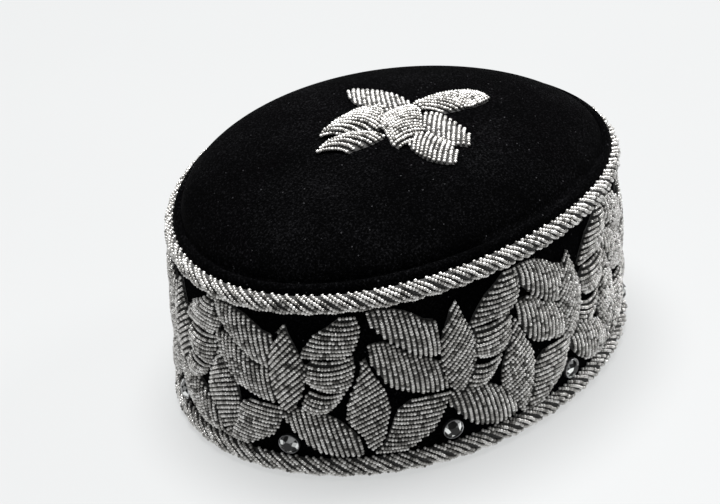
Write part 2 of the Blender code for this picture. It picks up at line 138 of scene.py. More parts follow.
# Each leaf: share of a row's length by which its rows bow to their left, the layer (a higher
# one lies on top), and its rungs. Columns of a rung: start u, start v, end u, end v. u is a
# share of one repeat of the pattern, and v of the field between the two ropes.
BAND_LEAVES = {
    "tall": (0.03, 9, (
        (0.060, 0.870, 0.108, 0.935),
        (0.012, 0.775, 0.115, 0.900),
        (-0.008, 0.685, 0.138, 0.850),
        (-0.012, 0.600, 0.165, 0.795),
        (-0.005, 0.515, 0.200, 0.715),
        (0.020, 0.430, 0.232, 0.630),
        (0.048, 0.375, 0.225, 0.540),
        (0.080, 0.340, 0.200, 0.450),
        (0.115, 0.330, 0.160, 0.375),
    )),
    "side": (0.07, 8, (
        (0.556, 0.645, 0.585, 0.680),
        (0.543, 0.575, 0.600, 0.630),
        (0.515, 0.508, 0.620, 0.585),
        (0.477, 0.432, 0.648, 0.530),
        (0.453, 0.345, 0.688, 0.462),
        (0.452, 0.270, 0.712, 0.385),
        (0.485, 0.214, 0.722, 0.310),
        (0.530, 0.160, 0.712, 0.238),
        (0.562, 0.100, 0.690, 0.160),
        (0.592, 0.040, 0.665, 0.085),
    )),
    "upper_left": (0.02, 7, (
        (-0.445, 0.989, -0.418, 0.881),
        (-0.350, 0.989, -0.313, 0.771),
        (-0.261, 0.969, -0.209, 0.687),
        (-0.177, 0.934, -0.123, 0.639),
        (-0.086, 0.867, -0.046, 0.614),
        (-0.014, 0.843, 0.009, 0.614),
    )),
    "middle_left": (0.02, 6, (
        (-0.445, 0.765, -0.430, 0.622),
        (-0.382, 0.773, -0.343, 0.490),
        (-0.315, 0.759, -0.264, 0.435),
        (-0.223, 0.683, -0.177, 0.406),
        (-0.131, 0.636, -0.089, 0.379),
        (-0.049, 0.592, -0.012, 0.373),
        (0.009, 0.561, 0.052, 0.365),
    )),
    "lower_right": (0.02, 5, (
        (0.055, 0.309, 0.074, 0.234),
        (0.108, 0.334, 0.157, 0.133),
        (0.184, 0.345, 0.255, 0.057),
        (0.270, 0.337, 0.350, 0.018),
        (0.347, 0.298, 0.421, 0.010),
        (0.415, 0.262, 0.482, 0.010),
        (0.476, 0.203, 0.528, 0.010),
        (0.525, 0.150, 0.550, 0.021),
    )),
    "lower_left": (0.02, 4, (
        (-0.433, 0.024, -0.221, 0.015),
        (-0.375, 0.080, -0.141, 0.066),
        (-0.347, 0.138, -0.052, 0.116),
        (-0.323, 0.197, -0.003, 0.173),
        (-0.301, 0.253, 0.022, 0.231),
        (-0.270, 0.303, 0.052, 0.284),
        (-0.194, 0.345, 0.077, 0.331),
    )),
    "upper_right": (0.01, 3, (
        (0.482, 0.986, 0.587, 0.983),
        (0.392, 0.924, 0.605, 0.916),
        (0.316, 0.880, 0.604, 0.860),
        (0.275, 0.829, 0.587, 0.810),
        (0.232, 0.776, 0.559, 0.759),
        (0.205, 0.732, 0.515, 0.722),
    )),
    "middle_right": (-0.07, 2, (
        (0.270, 0.692, 0.541, 0.709),
        (0.206, 0.635, 0.542, 0.650),
        (0.212, 0.580, 0.536, 0.592),
        (0.245, 0.535, 0.523, 0.540),
        (0.290, 0.500, 0.495, 0.495),
    )),
    "bud": (-0.13, 1, (
        (0.225, 0.468, 0.462, 0.458),
        (0.195, 0.418, 0.425, 0.408),
        (0.178, 0.372, 0.378, 0.362),
        (0.190, 0.335, 0.335, 0.330),
    )),
}
# Leaves sewn a little off their place. Key: repeat, counted from 0, and leaf. Columns: shift
# in u, shift in v.
LEAF_SHIFTS = {
    (0, "tall"): (0.035, -0.010),
    (0, "side"): (0.000, -0.030),
    (0, "upper_right"): (0.020, -0.010),
    (1, "upper_left"): (0.030, -0.010),
    (1, "middle_left"): (0.040, -0.020),
    (1, "tall"): (-0.020, -0.045),
    (1, "lower_left"): (0.020, -0.015),
    (8, "tall"): (-0.020, -0.010),
    (8, "upper_right"): (-0.035, -0.020),
    (8, "middle_right"): (-0.015, -0.010),
    (8, "side"): (0.015, 0.000),
}
BAND_PIECES = {
    "spray": ("middle_left", "tall", "middle_right", "bud", "lower_left", "lower_right"),
    "upper_left_leaf": ("upper_left",),
    "upper_right_leaf": ("upper_right",),
    "side_leaf": ("side",),
}

# The flower in plan, with bow and layer as above. Columns of a rung, as shares of the flower's
# reach: start x, start y, end x, end y.
FLOWER_LEAVES = {
    "middle": (0.06, 7, (
        (-0.298, -0.495, -0.095, -0.476),
        (-0.321, -0.417, 0.060, -0.424),
        (-0.286, -0.314, 0.105, -0.333),
        (-0.250, -0.210, 0.167, -0.229),
        (-0.214, -0.107, 0.238, -0.119),
        (-0.179, -0.012, 0.274, -0.019),
        (-0.095, 0.071, 0.274, 0.076),
    )),
    "back": (0.02, 6, (
        (0.238, 0.095, 0.295, 0.195),
        (0.143, 0.071, 0.271, 0.329),
        (0.036, 0.119, 0.229, 0.481),
        (-0.048, 0.214, 0.167, 0.586),
        (-0.095, 0.333, 0.107, 0.683),
        (-0.143, 0.500, 0.033, 0.795),
        (-0.110, 0.619, -0.005, 0.824),
    )),
    "right": (0.05, 5, (
        (0.228, 0.021, 0.436, -0.209),
        (0.281, 0.086, 0.582, -0.233),
        (0.373, 0.117, 0.682, -0.234),
        (0.557, 0.134, 0.758, -0.248),
        (0.743, 0.109, 0.856, -0.233),
        (0.898, 0.061, 0.930, -0.219),
        (1.007, -0.007, 1.025, -0.180),
    )),
    "front_right": (0.02, 4, (
        (0.119, -0.286, 0.238, -0.107),
        (0.083, -0.405, 0.298, -0.143),
        (0.081, -0.512, 0.348, -0.202),
        (0.114, -0.614, 0.388, -0.274),
        (0.155, -0.710, 0.410, -0.393),
        (0.226, -0.774, 0.419, -0.536),
        (0.298, -0.829, 0.417, -0.667),
    )),
    "left": (0.11, 3, (
        (-0.750, 0.209, -0.579, 0.036),
        (-0.676, 0.264, -0.463, 0.016),
        (-0.587, 0.296, -0.331, -0.079),
        (-0.475, 0.328, -0.222, -0.097),
        (-0.364, 0.346, -0.119, -0.024),
        (-0.228, 0.367, -0.041, 0.044),
        (-0.089, 0.344, 0.029, 0.123),
    )),
    "lower_left": (0.10, 2, (
        (-0.925, 0.002, -0.707, -0.232),
        (-0.859, 0.033, -0.617, -0.242),
        (-0.771, 0.053, -0.461, -0.267),
        (-0.660, 0.049, -0.374, -0.262),
        (-0.529, 0.010, -0.293, -0.254),
    )),
    "front": (0.02, 1, (
        (-0.198, -0.536, -0.119, -0.452),
        (-0.205, -0.643, 0.000, -0.429),
        (-0.195, -0.738, 0.081, -0.486),
        (-0.162, -0.829, 0.124, -0.576),
        (-0.095, -0.910, 0.157, -0.676),
        (-0.029, -0.971, 0.171, -0.757),
        (0.019, -0.986, 0.157, -0.833),
    )),
}

# The crown's padded roll, upwards and inwards. Columns: share of the roll's width in from the
# band's face, share of its height above the band's top edge.
ROLL_SECTION = ((0.0, 0.0), (0.0, 0.25), (0.03, 0.50), (0.10, 0.70), (0.20, 0.84),
                (0.34, 0.94), (0.52, 1.0), (0.70, 0.985), (0.84, 0.93), (0.95, 0.875))
CLOTH_COLUMNS = 288
DOME_RINGS = 36
DOME_CENTRE = 0.00001       # square of the innermost ring's share of the dome's radius
FACE_RINGS = 16
LINING_RINGS = 8
EDGE_MARGIN = 0.002         # the rings of a face of the band start this far from its edges

# A crystal and its rim. Widths are shares of the stone's radius, levels of its height.
STONE_SIDES = 8
RIM_SIDES = 32
TABLE_WIDTH = 0.44
TABLE_LEVEL = 0.98
STAR_WIDTH = 0.70
STAR_RISE = 0.55            # share of the way from the girdle up to the table
GIRDLE_WIDTH = 0.92
GIRDLE_LEVEL = 0.50
# Place of the table facet on the crystal's ramp, which paints a dark reflection on it
TABLE_PAINTED_REFLECTION = 0.2
RIM_TINT = 0.5
STONE_TWIST = 0.7           # each stone is turned by up to this angle
# Columns: width, level
RIM_SECTION = ((1.0, 0.0), (1.0, 0.38), (0.985, 0.50), (0.955, 0.54), (0.92, 0.50), (0.90, 0.42))

# How full the padding is, from 0 to 1
CLOTH_FILL = 0.3
ROPE_FILL = 0.9
LEAF_FILL = 0.8

# Camera, from a fit of the cap's edges in the photograph of 720 by 504 pixels
IMAGE_WIDTH = 720
IMAGE_HEIGHT = 504
FOCAL_PIXELS = 2305.2
CENTRE_PIXEL = (403.0, 265.1)
CAMERA_DISTANCE = 1.0
CAMERA_AIM = 0.0436
CAMERA_ELEVATION = math.radians(32.5)
CAMERA_AZIMUTH = math.radians(-33.2)
CAMERA_ROLL = math.radians(3.2)
SENSOR_WIDTH = 36.0

# Lights. Columns: name, place, width, power.
LIGHTS = (
    ("overhead", (0.1, 0.25, 1.6), 0.9, 58.0),
    ("right", (1.2, -0.2, 1.0), 0.5, 10.0),
)
LIGHT_AIM = (0, 0, 0.05)
SKY_COLOUR = (0.98, 0.99, 1.0, 1.0)
SKY_STRENGTH = 0.22
FLOOR_REACH = 6.0
FLOOR_DROP = 0.0002         # the floor lies this far under the hem

rng = np.random.default_rng(SEED)


def edge_wave(angle):
    """Height of the cap's top edge at an angle, against its mean height."""
    ends = END_RISE * np.cos(2 * angle)
    return ends + LEAN_ALONG * np.cos(angle) + LEAN_ACROSS * np.sin(angle)


def oval(angle, spread, inset):
    """Points of the cap's plan outline, moved inwards along the outline's normal."""
    half_length = spread * CAP_LENGTH / 2
    half_width = spread * CAP_WIDTH / 2
    swell = 1 + EGG_SHARE * np.cos(angle)
    x = half_length * np.cos(angle)
    y = half_width * np.sin(angle) * swell
    along_x = -half_length * np.sin(angle)
    along_y = half_width * (np.cos(angle) * swell - EGG_SHARE * np.sin(angle) ** 2)
    length = np.hypot(along_x, along_y)
    return x - inset * along_y / length, y + inset * along_x / length


def wall_points(angle, level, inset):
    """Points of the cap's side at a level, inset from the ropes' outermost face."""
    spread = HEM_SPREAD + (1 - HEM_SPREAD) * level / BAND_HEIGHT
    x, y = oval(angle, spread, inset)
    height = level * (1 + edge_wave(angle) / BAND_HEIGHT)
    return np.stack(np.broadcast_arrays(x, y, height), axis=-1)


GIRTH_ANGLES = np.linspace(0, 2 * math.pi, GIRTH_SAMPLES)
GIRTH_POINTS = wall_points(GIRTH_ANGLES, BAND_HEIGHT / 2, 0)
GIRTH_STEPS = np.linalg.norm(np.diff(GIRTH_POINTS, axis=0), axis=1)
GIRTH_LENGTHS = np.concatenate([[0], np.cumsum(GIRTH_STEPS)])
GIRTH = float(GIRTH_LENGTHS[-1])
PITCH = GIRTH / (REPEATS + PATTERN_GAP)
PATTERN_LENGTH = float(np.interp(PATTERN_START, GIRTH_ANGLES, GIRTH_LENGTHS))


def angle_at(length):
    """Angles of the places that lie at lengths along the cap's girth."""
    return np.interp(np.mod(length, GIRTH), GIRTH_LENGTHS, GIRTH_ANGLES)


def on_band(flat):
    """Points of the band from columns: length along it, level, height above the velvet."""
    along, level, height = flat[..., 0], flat[..., 1], flat[..., 2]
    return wall_points(angle_at(PATTERN_LENGTH + along), level, BAND_INSET - height)


def dome_height(angle, share):
    """Height of the dome at an angle, at a share of the way out to its groove."""
    wave = edge_wave(angle) * GROOVE_LEVEL / BAND_HEIGHT + DOME_LEAN * np.cos(angle)
    rise = DOME_RISE * np.clip(1 - share ** DOME_POWER, 0, 1) ** DOME_ROUNDING
    return GROOVE_LEVEL + wave * share ** 2 + rise


def dome_surface(x, y):
    """Points of the dome above places in plan; the angle is found by repeated tries."""
    rim, _ = oval(0.0, 1, GROOVE_INSET)
    _, side = oval(math.pi / 2, 1, GROOVE_INSET)
    angle = np.arctan2(y / side, x / rim)
    for _ in range(ANGLE_TRIES):
        swell = 1 + EGG_SHARE * np.cos(angle)
        angle = np.arctan2(y / (side * swell), x / rim)
    edge_x, edge_y = oval(angle, 1, GROOVE_INSET)
    share = np.hypot(x, y) / np.hypot(edge_x, edge_y)
    return np.stack([x, y, dome_height(angle, share)], axis=-1)


def on_dome(flat):
    """Points of the dome from columns: x, y, height above the velvet along its normal."""
    x, y, height = flat[..., 0], flat[..., 1], flat[..., 2]
    here = dome_surface(x, y)
    along = dome_surface(x + NORMAL_STEP, y) - here
    across = dome_surface(x, y + NORMAL_STEP) - here
    normal = np.cross(along, across)
    normal /= np.linalg.norm(normal, axis=-1, keepdims=True)
    return here + height[..., None] * normal


def smooth_path(points, places):
    """Catmull-Rom curve through points, at places from 0 to the last point's number."""
    ends = np.vstack([2 * points[0] - points[1], points, 2 * points[-1] - points[-2]])
    index = np.clip(places.astype(int), 0, len(points) - 2)
    t = (places - index)[:, None]
    p0, p1, p2, p3 = (ends[index + shift] for shift in range(4))
    return 0.5 * (2 * p1 + (p2 - p0) * t + (2 * p0 - 5 * p1 + 4 * p2 - p3) * t ** 2
                  + (3 * p1 - p0 - 3 * p2 + p3) * t ** 3)


def column_interp(spots, lengths, points):
    """Points at spots along a path, whose points lie at lengths along it."""
    return np.stack([np.interp(spots, lengths, points[:, k]) for k in range(points.shape[1])],
                    axis=1)


def beads_along(path, scale=1.0):
    """Centres and directions of beads threaded along a path of points."""
    steps = np.linalg.norm(np.diff(path, axis=0), axis=1)
    lengths = np.concatenate([[0], np.cumsum(steps)])
    count = max(1, int(round(lengths[-1] / (BEAD_PITCH * scale))))
    pitch = lengths[-1] / count
    spots = (np.arange(count) + 0.5) * pitch
    ahead = column_interp(spots + pitch / 3, lengths, path)
    behind = column_interp(spots - pitch / 3, lengths, path)
    tangent = ahead - behind
    tangent /= np.linalg.norm(tangent, axis=1, keepdims=True)
    return column_interp(spots, lengths, path), tangent


class Leaf:
    """One leaf of rows of beads, drawn flat."""

    def __init__(self, kind, scale, shift):
        bow, layer, rungs = kind
        rungs = np.array(rungs)
        self.bow = bow
        self.layer = layer
        self.starts = rungs[:, :2] * scale + shift
        self.ends = rungs[:, 2:] * scale + shift

    def rows(self, pitch):
        """Start and end of each row, and its place from 0 to 1 along the leaf."""
        places = np.linspace(0, len(self.starts) - 1, ROW_SAMPLES)
        start = smooth_path(self.starts, places)
        end = smooth_path(self.ends, places)
        along = end - start
        along /= np.linalg.norm(along, axis=1, keepdims=True)
        across = np.stack([-along[:, 1], along[:, 0]], axis=1)
        middle = (start + end) / 2
        step = np.abs(np.sum(np.diff(middle, axis=0) * across[1:], axis=1))
        travelled = np.concatenate([[0], np.cumsum(step)])
        count = max(2, int(round(travelled[-1] / pitch)) + 1)
        wanted = np.linspace(0, travelled[-1], count)
        at = np.interp(wanted, travelled, places)
        return (smooth_path(self.starts, at), smooth_path(self.ends, at),
                wanted / travelled[-1])

    def row_points(self, start, end, place, shares):
        """Flat points of one row, with their height above the velvet."""
        chord = end - start
        length = np.linalg.norm(chord)
        side = np.array([-chord[1], chord[0]]) / length
        arch = 4 * shares * (1 - shares)
        flat = start + shares[:, None] * chord + (self.bow * length * arch)[:, None] * side
        body = math.sin(math.pi * min(max(place, 0.0), 1.0)) ** LEAF_ROUNDING
        fullness = (END_FULLNESS + (1 - END_FULLNESS) * body) * min(1.0, length / FULL_ROW)
        swell = np.clip(arch, 0, 1) ** ROW_ROUNDING
        height = EDGE_HEIGHT + (CREST_HEIGHT - EDGE_HEIGHT) * fullness * swell
        return np.column_stack([flat, height])

    def bead_rows(self, place_on):
        """Centres and directions of the leaf's beads in the cap's frame."""
        centres, tangents = [], []
        for start, end, place in zip(*self.rows(ROW_PITCH)):
            unit = (end - start) / np.linalg.norm(end - start)
            start = start + unit * rng.uniform(-ROW_END_SHAKE, ROW_END_SHAKE)
            end = end + unit * rng.uniform(-ROW_END_SHAKE, ROW_END_SHAKE)
            flat = self.row_points(start, end, place, np.linspace(0, 1, ROW_POINTS))
            at, tangent = beads_along(place_on(flat))
            centres.append(at)
            tangents.append(tangent)
        return np.vstack(centres), np.vstack(tangents)

    def padding(self, place_on):
        """Rows of points of the padding under the beads."""
        rows = []
        for start, end, place in zip(*self.rows(PADDING_PITCH)):
            flat = self.row_points(start, end, place, np.linspace(0, 1, PADDING_POINTS))
            flat[:, 2] = np.maximum(flat[:, 2] - PAD_SINK, PADDING_FLOOR)
            flat[[0, -1], 2] = PADDING_EDGE
            rows.append(place_on(flat))
        return np.array(rows)


def bead_template():
    """Vertices and quads of one bead threaded along Z, its radius being 1."""
    angles = np.arange(BEAD_SIDES) * 2 * math.pi / BEAD_SIDES
    vertices = np.vstack([np.stack([radius * np.cos(angles), radius * np.sin(angles),
                                    np.full(BEAD_SIDES, place)], axis=1)
                          for radius, place in BEAD_PROFILE])
    quads = []
    for ring in range(len(BEAD_PROFILE) - 1):
        for step in range(BEAD_SIDES):
            ahead = (step + 1) % BEAD_SIDES
            low, high = ring * BEAD_SIDES, (ring + 1) * BEAD_SIDES
            quads.append((low + step, low + ahead, high + ahead, high + step))
    last = (len(BEAD_PROFILE) - 1) * BEAD_SIDES
    for step in range(1, BEAD_SIDES - 2, 2):
        quads.append((0, step + 2, step + 1, step))
        quads.append((last, last + step, last + step + 1, last + step + 2))
    return vertices, np.array(quads)


BEAD_VERTICES, BEAD_QUADS = bead_template()


def link_object(name, data):
    thing = bpy.data.objects.new(name, data)
    bpy.context.collection.objects.link(thing)
    return thing


def mesh_from_quads(name, vertices, quads):
    mesh = bpy.data.meshes.new(name)
    mesh.vertices.add(len(vertices))
    mesh.vertices.foreach_set("co", np.asarray(vertices, dtype=np.float32).ravel())
    mesh.loops.add(quads.size)
    mesh.loops.foreach_set("vertex_index", quads.astype(np.int32).ravel())
    mesh.polygons.add(len(quads))
    mesh.polygons.foreach_set("loop_start", np.arange(0, quads.size, 4, dtype=np.int32))
    mesh.update(calc_edges=True)
    return mesh


def beads_geometry(centres, tangents, sizes):
    """Vertices and quads of many beads, each threaded along its tangent."""
    steep = np.abs(tangents[:, 2:3]) > 0.8
    helper = np.where(steep, np.array([[1.0, 0, 0]]), np.array([[0, 0, 1.0]]))
    side = np.cross(helper, tangents)
    side /= np.linalg.norm(side, axis=1, keepdims=True)
    other = np.cross(tangents, side)
    basis = np.stack([side, other, tangents], axis=1) * (BEAD_RADIUS * sizes)[:, None, None]
    vertices = centres[:, None, :] + np.einsum("vk,nkc->nvc", BEAD_VERTICES, basis)
    shift = np.arange(len(centres))[:, None, None] * len(BEAD_VERTICES)
    quads = BEAD_QUADS[None] + shift
    return vertices.reshape(-1, 3), quads.reshape(-1, 4)


def grid_quads(rows, columns, wrap=False):
    """Quads of a grid of points, row by row, its columns closed into a ring if wrap."""
    reach = columns if wrap else columns - 1
    row, column = np.meshgrid(np.arange(rows - 1), np.arange(reach), indexing="ij")
    ahead = (column + 1) % columns
    return np.stack([row * columns + column, row * columns + ahead,
                     (row + 1) * columns + ahead, (row + 1) * columns + column],
                    axis=-1).reshape(-1, 4)


class BeadPiece:
    """Collects the beads and the padding of one piece, and makes them one mesh."""

    def __init__(self, name):
        self.name = name
        self.vertices = []
        self.quads = []
        self.slots = []
        self.tints_and_reflections = []
        self.count = 0

    def add(self, vertices, quads, slot, tints_and_reflections):
        """Adds faces; slot 0 is for beads and slot 1 for padding."""
        self.vertices.append(vertices)
        self.quads.append(quads + self.count)
        self.slots.append(np.full(len(quads), slot))
        self.tints_and_reflections.append(tints_and_reflections)
        self.count += len(vertices)

    def add_beads(self, centres, tangents, scale=1.0):
        sizes = scale * rng.normal(1.0, BEAD_SIZE_SPREAD, len(centres))
        tints_and_reflections = np.clip(rng.normal(0.5, BEAD_TINT_SPREAD, len(centres)), 0, 1)
        shaken = centres + rng.normal(0, BEAD_SHAKE, centres.shape)
        vertices, quads = beads_geometry(shaken, tangents, sizes)
        self.add(vertices, quads, 0, np.repeat(tints_and_reflections, len(BEAD_VERTICES)))

    def add_sheet(self, rows, wrap=False):
        height, width = rows.shape[:2]
        self.add(rows.reshape(-1, 3), grid_quads(height, width, wrap), 1,
                 np.zeros(height * width))

    def build(self, materials):
        mesh = mesh_from_quads(self.name, np.vstack(self.vertices), np.vstack(self.quads))
        for material in materials:
            mesh.materials.append(material)
        mesh.polygons.foreach_set("material_index", np.concatenate(self.slots).astype(np.int32))
        tint_and_reflection = mesh.attributes.new("tint_and_reflection", "FLOAT", "POINT")
        tint_and_reflection.data.foreach_set("value", np.concatenate(self.tints_and_reflections).astype(np.float32))
        mesh.shade_smooth()
        return link_object(self.name, mesh)


def settle_layers(groups):
    """Leaves out, from each leaf, the beads that lie in a bead of a leaf above it."""
    settled = []
    for layer in sorted({group["leaf"].layer for group in groups}, reverse=True):
        tree = KDTree(len(settled))
        for index, point in enumerate(settled):
            tree.insert(point, index)
        tree.balance()
        placed = []
        for group in groups:
            if group["leaf"].layer != layer:
                continue
            if settled:
                keep = np.array([tree.find(point)[2] > CROWDED for point in group["centres"]])
                group["centres"] = group["centres"][keep]
                group["tangents"] = group["tangents"][keep]
            placed.extend(group["centres"])
        settled.extend(placed)


def leaf_groups(leaves, place_on):
    """The beads and the padding of each leaf, with the beads of lower leaves thinned out."""
    groups = []
    for piece, leaf in leaves:
        centres, tangents = leaf.bead_rows(place_on)
        groups.append({"piece": piece, "leaf": leaf, "centres": centres, "tangents": tangents,
                       "padding": leaf.padding(place_on)})
    settle_layers(groups)
    return groups


def cloth_angles():
    return angle_at(GIRTH * np.arange(CLOTH_COLUMNS) / CLOTH_COLUMNS)


def rope_piece(name, level, materials):
    """A rope of slanting rows of beads, bunched into lobes."""
    piece = BeadPiece(name)
    lobes = REPEATS * LOBES_PER_REPEAT
    radius = BEAD_RADIUS * ROPE_BEAD_SCALE
    half = ROPE_HEIGHT / 2 - radius
    turn = np.linspace(-0.5 * math.pi, 0.5 * math.pi, STRAND_POINTS)
    rounded = np.sign(turn) * np.abs(np.sin(turn)) ** ROPE_FULLNESS
    outward = np.clip(np.cos(turn), 0, 1) ** ROPE_FULLNESS
    for lobe in range(lobes):
        for strand in range(STRANDS_PER_LOBE):
            place = (strand + 0.5) / STRANDS_PER_LOBE - 0.5
            length = GIRTH * (lobe + place * LOBE_SPREAD) / lobes
            dip = LOBE_DIP * (2 * place) ** 2 + rng.uniform(0, STRAND_SHAKE)
            rise = half * rounded * (1 - STRAND_CUT * abs(place))
            depth = (ROPE_DEPTH - radius) * outward - dip
            lay = half * (np.sin(turn) + turn / (math.pi / 2)) / 2
            along = length - lay / math.tan(STRAND_SLANT)
            path = wall_points(angle_at(along), level + rise, ROPE_DEPTH - depth)
            piece.add_beads(*beads_along(path, ROPE_BEAD_SCALE), ROPE_BEAD_SCALE)
    angles = cloth_angles()
    core = []
    for angle in np.linspace(-0.5 * math.pi, 0.5 * math.pi, CORE_POINTS):
        rise = (half - CORE_MARGIN) * math.sin(angle)
        depth = (ROPE_DEPTH - CORE_SINK * radius) * math.cos(angle)
        core.append(wall_points(angles, level + rise, ROPE_DEPTH - depth))
    piece.add_sheet(np.array(core), wrap=True)
    return piece.build(materials)


def cloth_mesh(name, rings, close_section, materials):
    """A smooth ring of cloth from rings of points, one above the other."""
    rings = np.array(rings)
    height, width = rings.shape[:2]
    quads = grid_quads(height + 1 if close_section else height, width, wrap=True)
    quads %= height * width
    mesh = mesh_from_quads(name, rings.reshape(-1, 3), quads)
    for material in materials:
        mesh.materials.append(material)
    mesh.shade_smooth()
    return link_object(name, mesh)


def band_cloth(materials):
    """The upright wall: up its outer face, down its lining and round its lower edge."""
    angles = cloth_angles()
    inner = BAND_INSET + BAND_WALL
    corner = BAND_WALL / 4
    section = [(corner / 3, BAND_INSET + corner / 3), (corner, BAND_INSET)]
    section += [(level, BAND_INSET)
                for level in np.linspace(2 * EDGE_MARGIN, BAND_HEIGHT - EDGE_MARGIN, FACE_RINGS)]
    section += [(BAND_HEIGHT, BAND_INSET), (BAND_HEIGHT, inner)]
    section += [(level, inner)
                for level in np.linspace(BAND_HEIGHT - EDGE_MARGIN, EDGE_MARGIN, LINING_RINGS)]
    section += [(corner, inner), (corner / 3, inner - corner / 3), (0.0, inner - corner),
                (0.0, BAND_INSET + corner)]
    return cloth_mesh("velvet_band",
                      [wall_points(angles, level, inset) for level, inset in section],
                      True, materials)


def crown_cloth(materials):
    """The padded roll and the dome inside its groove, given their thickness inwards."""
    angles = cloth_angles()
    foot = BAND_HEIGHT + CLEARANCE
    rings = []
    for inward, upward in ROLL_SECTION:
        inset = BAND_INSET + inward * ROLL_WIDTH
        rings.append(wall_points(angles, foot + upward * (ROLL_HEIGHT - CLEARANCE), inset))
    for share in np.sqrt(np.linspace(1.0, DOME_CENTRE, DOME_RINGS)):
        flat_x, flat_y = oval(angles, 1, GROOVE_INSET)
        rings.append(np.stack([share * flat_x, share * flat_y, dome_height(angles, share)],
                              axis=-1))
    crown = cloth_mesh("velvet_crown", rings, False, materials)
    cloth = crown.modifiers.new("cloth", "SOLIDIFY")
    cloth.thickness = CROWN_WALL
    cloth.offset = -1.0
    cloth.use_even_offset = True
    return crown


def new_material(name):
    material = bpy.data.materials.new(name)
    material.use_nodes = True
    tree = material.node_tree
    return material, tree, tree.nodes["Principled BSDF"]


def add_node(tree, kind, **values):
    """A node with values for its inputs or, where it has no such input, its settings."""
    node = tree.nodes.new(kind)
    for name, value in values.items():
        if name in node.inputs:
            node.inputs[name].default_value = value
        else:
            setattr(node, name, value)
    return node


def add_texture(tree, place, kind, **values):
    """A texture laid out in the piece's own coordinates."""
    texture = add_node(tree, kind, **values)
    tree.links.new(place.outputs["Object"], texture.inputs["Vector"])
    return texture


def add_ramp(tree, factor, stops):
    """A ramp of colours driven by a factor; each stop is a place and a colour."""
    ramp = tree.nodes.new("ShaderNodeValToRGB")
    elements = ramp.color_ramp.elements
    while len(elements) < len(stops):
        elements.new(0.5)
    for element, (place, colour) in zip(elements, stops):
        element.position = place
        element.color = (*colour, 1)
    tree.links.new(factor, ramp.inputs["Fac"])
    return ramp.outputs["Color"]


def add_bump(tree, shader, height, strength, distance):
    bump = add_node(tree, "ShaderNodeBump", Strength=strength, Distance=distance)
    tree.links.new(height, bump.inputs["Height"])
    tree.links.new(bump.outputs["Normal"], shader.inputs["Normal"])


def beads_material():
    """Silver glass beads, each with its own colour, and the paler ones shinier."""
    material, tree, shader = new_material("silver_beads")
    shader.inputs["Metallic"].default_value = 0.55
    tint_and_reflection = add_node(tree, "ShaderNodeAttribute", attribute_name="tint_and_reflection")
    shade = add_ramp(tree, tint_and_reflection.outputs["Fac"],
                     ((0.0, (0.10, 0.097, 0.090)), (0.35, (0.50, 0.487, 0.465)),
                      (0.68, (0.86, 0.845, 0.820)), (1.0, (0.98, 0.97, 0.95))))
    tree.links.new(shade, shader.inputs["Base Color"])
    rough = add_node(tree, "ShaderNodeMapRange")
    rough.inputs["To Min"].default_value = 0.26
    rough.inputs["To Max"].default_value = 0.12
    tree.links.new(tint_and_reflection.outputs["Fac"], rough.inputs["Value"])
    tree.links.new(rough.outputs["Result"], shader.inputs["Roughness"])
    place = add_node(tree, "ShaderNodeTexCoord")
    grain = add_texture(tree, place, "ShaderNodeTexNoise", Scale=900.0, Detail=2.0)
    add_bump(tree, shader, grain.outputs["Fac"], 0.25, 0.0002)
    return material


def padding_material():
    """The dark thread and cloth that show between the beads."""
    material, tree, shader = new_material("bead_padding")
    shader.inputs["Roughness"].default_value = 0.9
    place = add_node(tree, "ShaderNodeTexCoord")
    weave = add_texture(tree, place, "ShaderNodeTexNoise", Scale=1500.0, Detail=2.0)
    shade = add_ramp(tree, weave.outputs["Fac"],
                     ((0.3, (0.012, 0.012, 0.012)), (0.7, (0.065, 0.064, 0.062))))
    tree.links.new(shade, shader.inputs["Base Color"])
    return material


